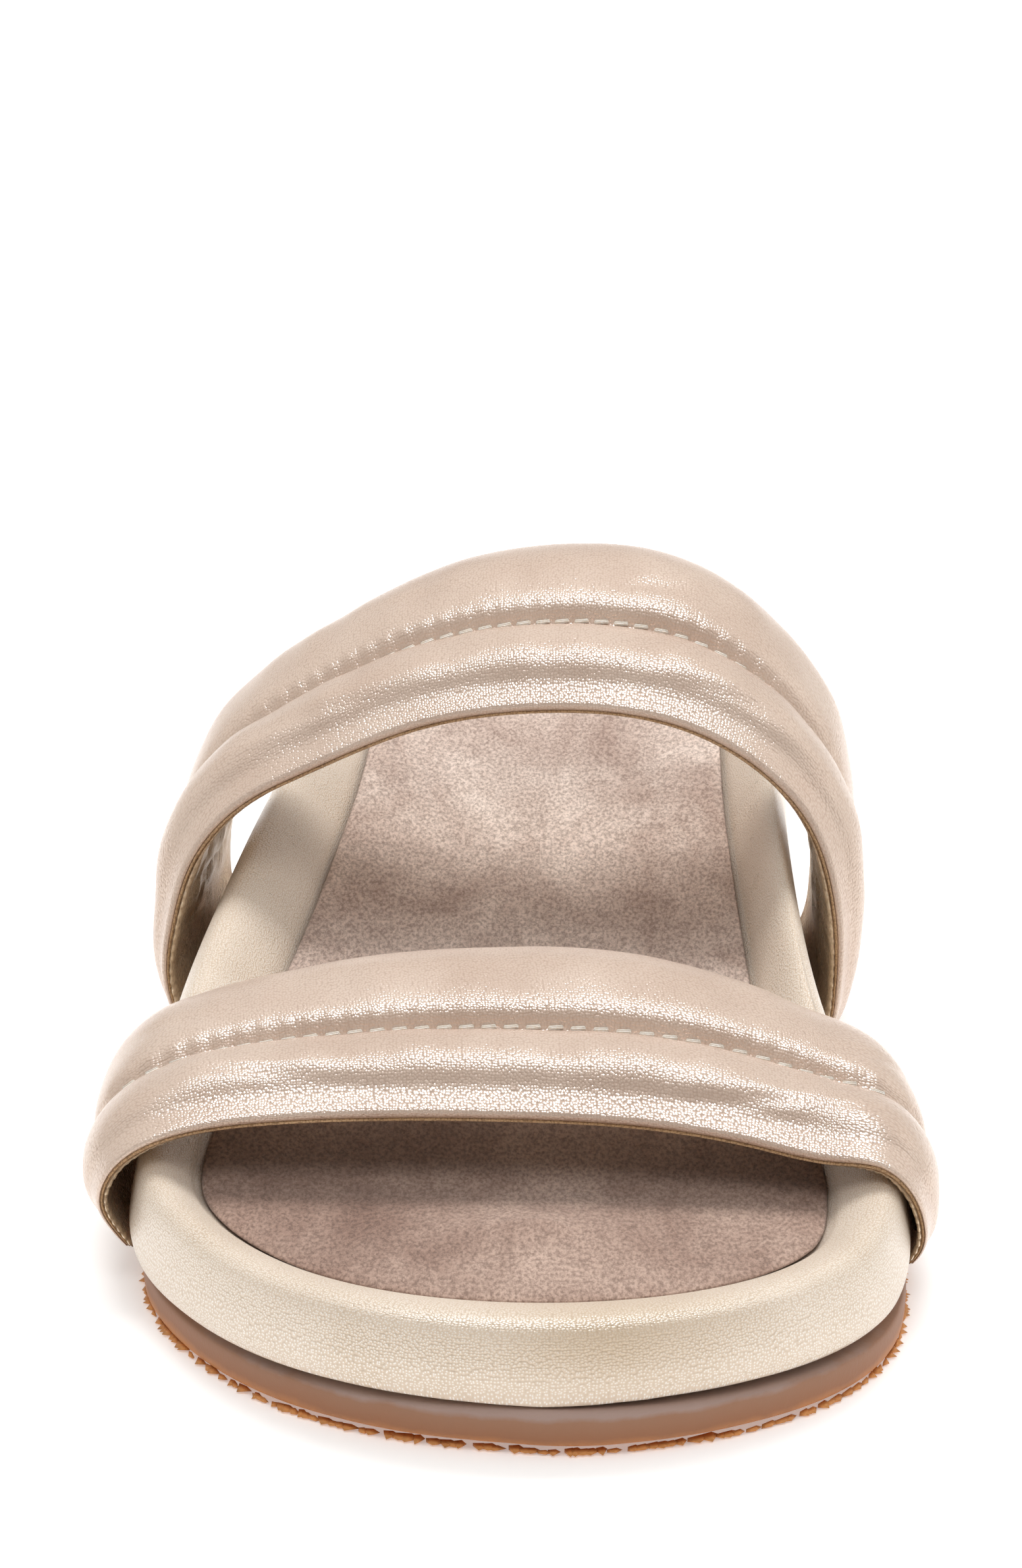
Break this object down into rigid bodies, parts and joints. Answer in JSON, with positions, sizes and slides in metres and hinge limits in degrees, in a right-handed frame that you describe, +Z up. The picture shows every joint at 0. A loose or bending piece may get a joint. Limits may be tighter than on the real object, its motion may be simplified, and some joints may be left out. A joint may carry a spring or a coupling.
{
  "type": "slide sandal",
  "caption": "Right-foot slide sandal: padded leather straps arch over a leather-wrapped contoured footbed with a suede insole on a flat rubber outsole.",
  "frame": {"origin": "On the floor under the middle of the sole's length, where the outsole stands.", "axes": "+Y runs from toe to heel along the sole's length, +X is the big-toe side and +Z is up."},
  "size_m": [0.1064, 0.258, 0.061],
  "materials": {
    "outsole": "matte taupe rubber, turning gum brown at the bottom edge",
    "midsole": "fine-grained champagne leather with a soft pearl sheen",
    "insole": "mauve-taupe suede with a mottled nap",
    "front_strap": "pebbled rose-gold metallic leather over soft padding",
    "rear_strap": "pebbled rose-gold metallic leather over soft padding"
  },
  "bodies": {
    "root": {"outsole": "outsole", "midsole": "midsole", "insole": "insole", "front_strap": "front_strap", "rear_strap": "rear_strap"}
  },
  "joints": []
}
